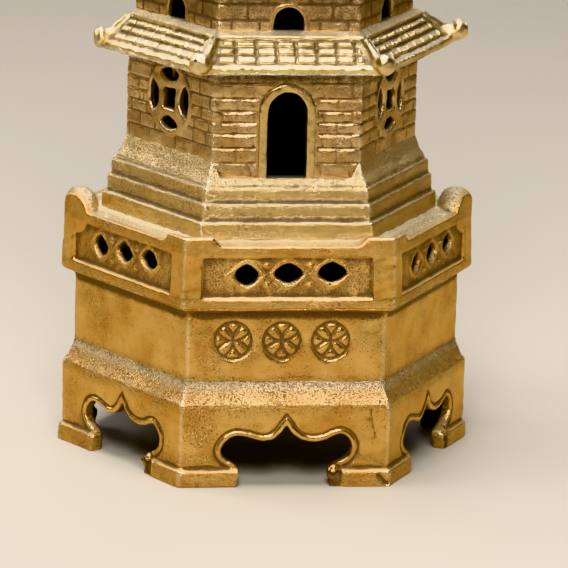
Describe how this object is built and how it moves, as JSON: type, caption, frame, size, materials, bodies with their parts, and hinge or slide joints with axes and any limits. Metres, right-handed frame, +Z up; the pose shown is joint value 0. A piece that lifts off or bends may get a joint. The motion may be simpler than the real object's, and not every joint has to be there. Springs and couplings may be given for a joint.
{
  "type": "small cast brass pagoda ornament",
  "caption": "Six-sided pagoda ornament in cast brass: tiered roofs with knobbed hips, an arched door, coin windows, a railed pedestal on an apron with feet, and a gourd finial.",
  "frame": {"origin": "middle of the footprint, on the plane that the feet stand on", "axes": "+Z up along the tower, the door faces -Y, and the plan has corners on +X and -X"},
  "size_m": [0.1298, 0.1126, 0.3355],
  "materials": {
    "satin_brass": "satin cast brass with brown grime in the recesses",
    "tarnished_brass": "dull sand-cast brass with worn bright edges",
    "pale_brass": "pale burnished cast brass"
  },
  "bodies": {
    "root": {"base_apron": "satin_brass", "pedestal_wall": "satin_brass", "front_railing": "satin_brass", "front_right_railing": "satin_brass", "back_right_railing": "satin_brass", "back_railing": "satin_brass", "back_left_railing": "satin_brass", "front_left_railing": "satin_brass", "terrace_deck": "tarnished_brass", "stepped_plinth": "tarnished_brass", "front_wall": "tarnished_brass", "front_right_wall": "tarnished_brass", "back_right_wall": "tarnished_brass", "back_wall": "tarnished_brass", "back_left_wall": "tarnished_brass", "front_left_wall": "tarnished_brass", "door_frame": "satin_brass", "first_roof": "pale_brass", "second_storey_wall": "tarnished_brass", "second_roof": "pale_brass", "third_storey_wall": "tarnished_brass", "third_roof": "pale_brass", "fourth_storey_wall": "tarnished_brass", "fourth_roof": "pale_brass", "fifth_storey_wall": "tarnished_brass", "fifth_roof": "pale_brass", "sixth_storey_wall": "tarnished_brass", "sixth_roof": "pale_brass", "seventh_storey_wall": "tarnished_brass", "top_roof": "pale_brass", "finial_base": "satin_brass", "finial_gourd": "satin_brass", "finial_tip": "satin_brass"}
  },
  "joints": []
}
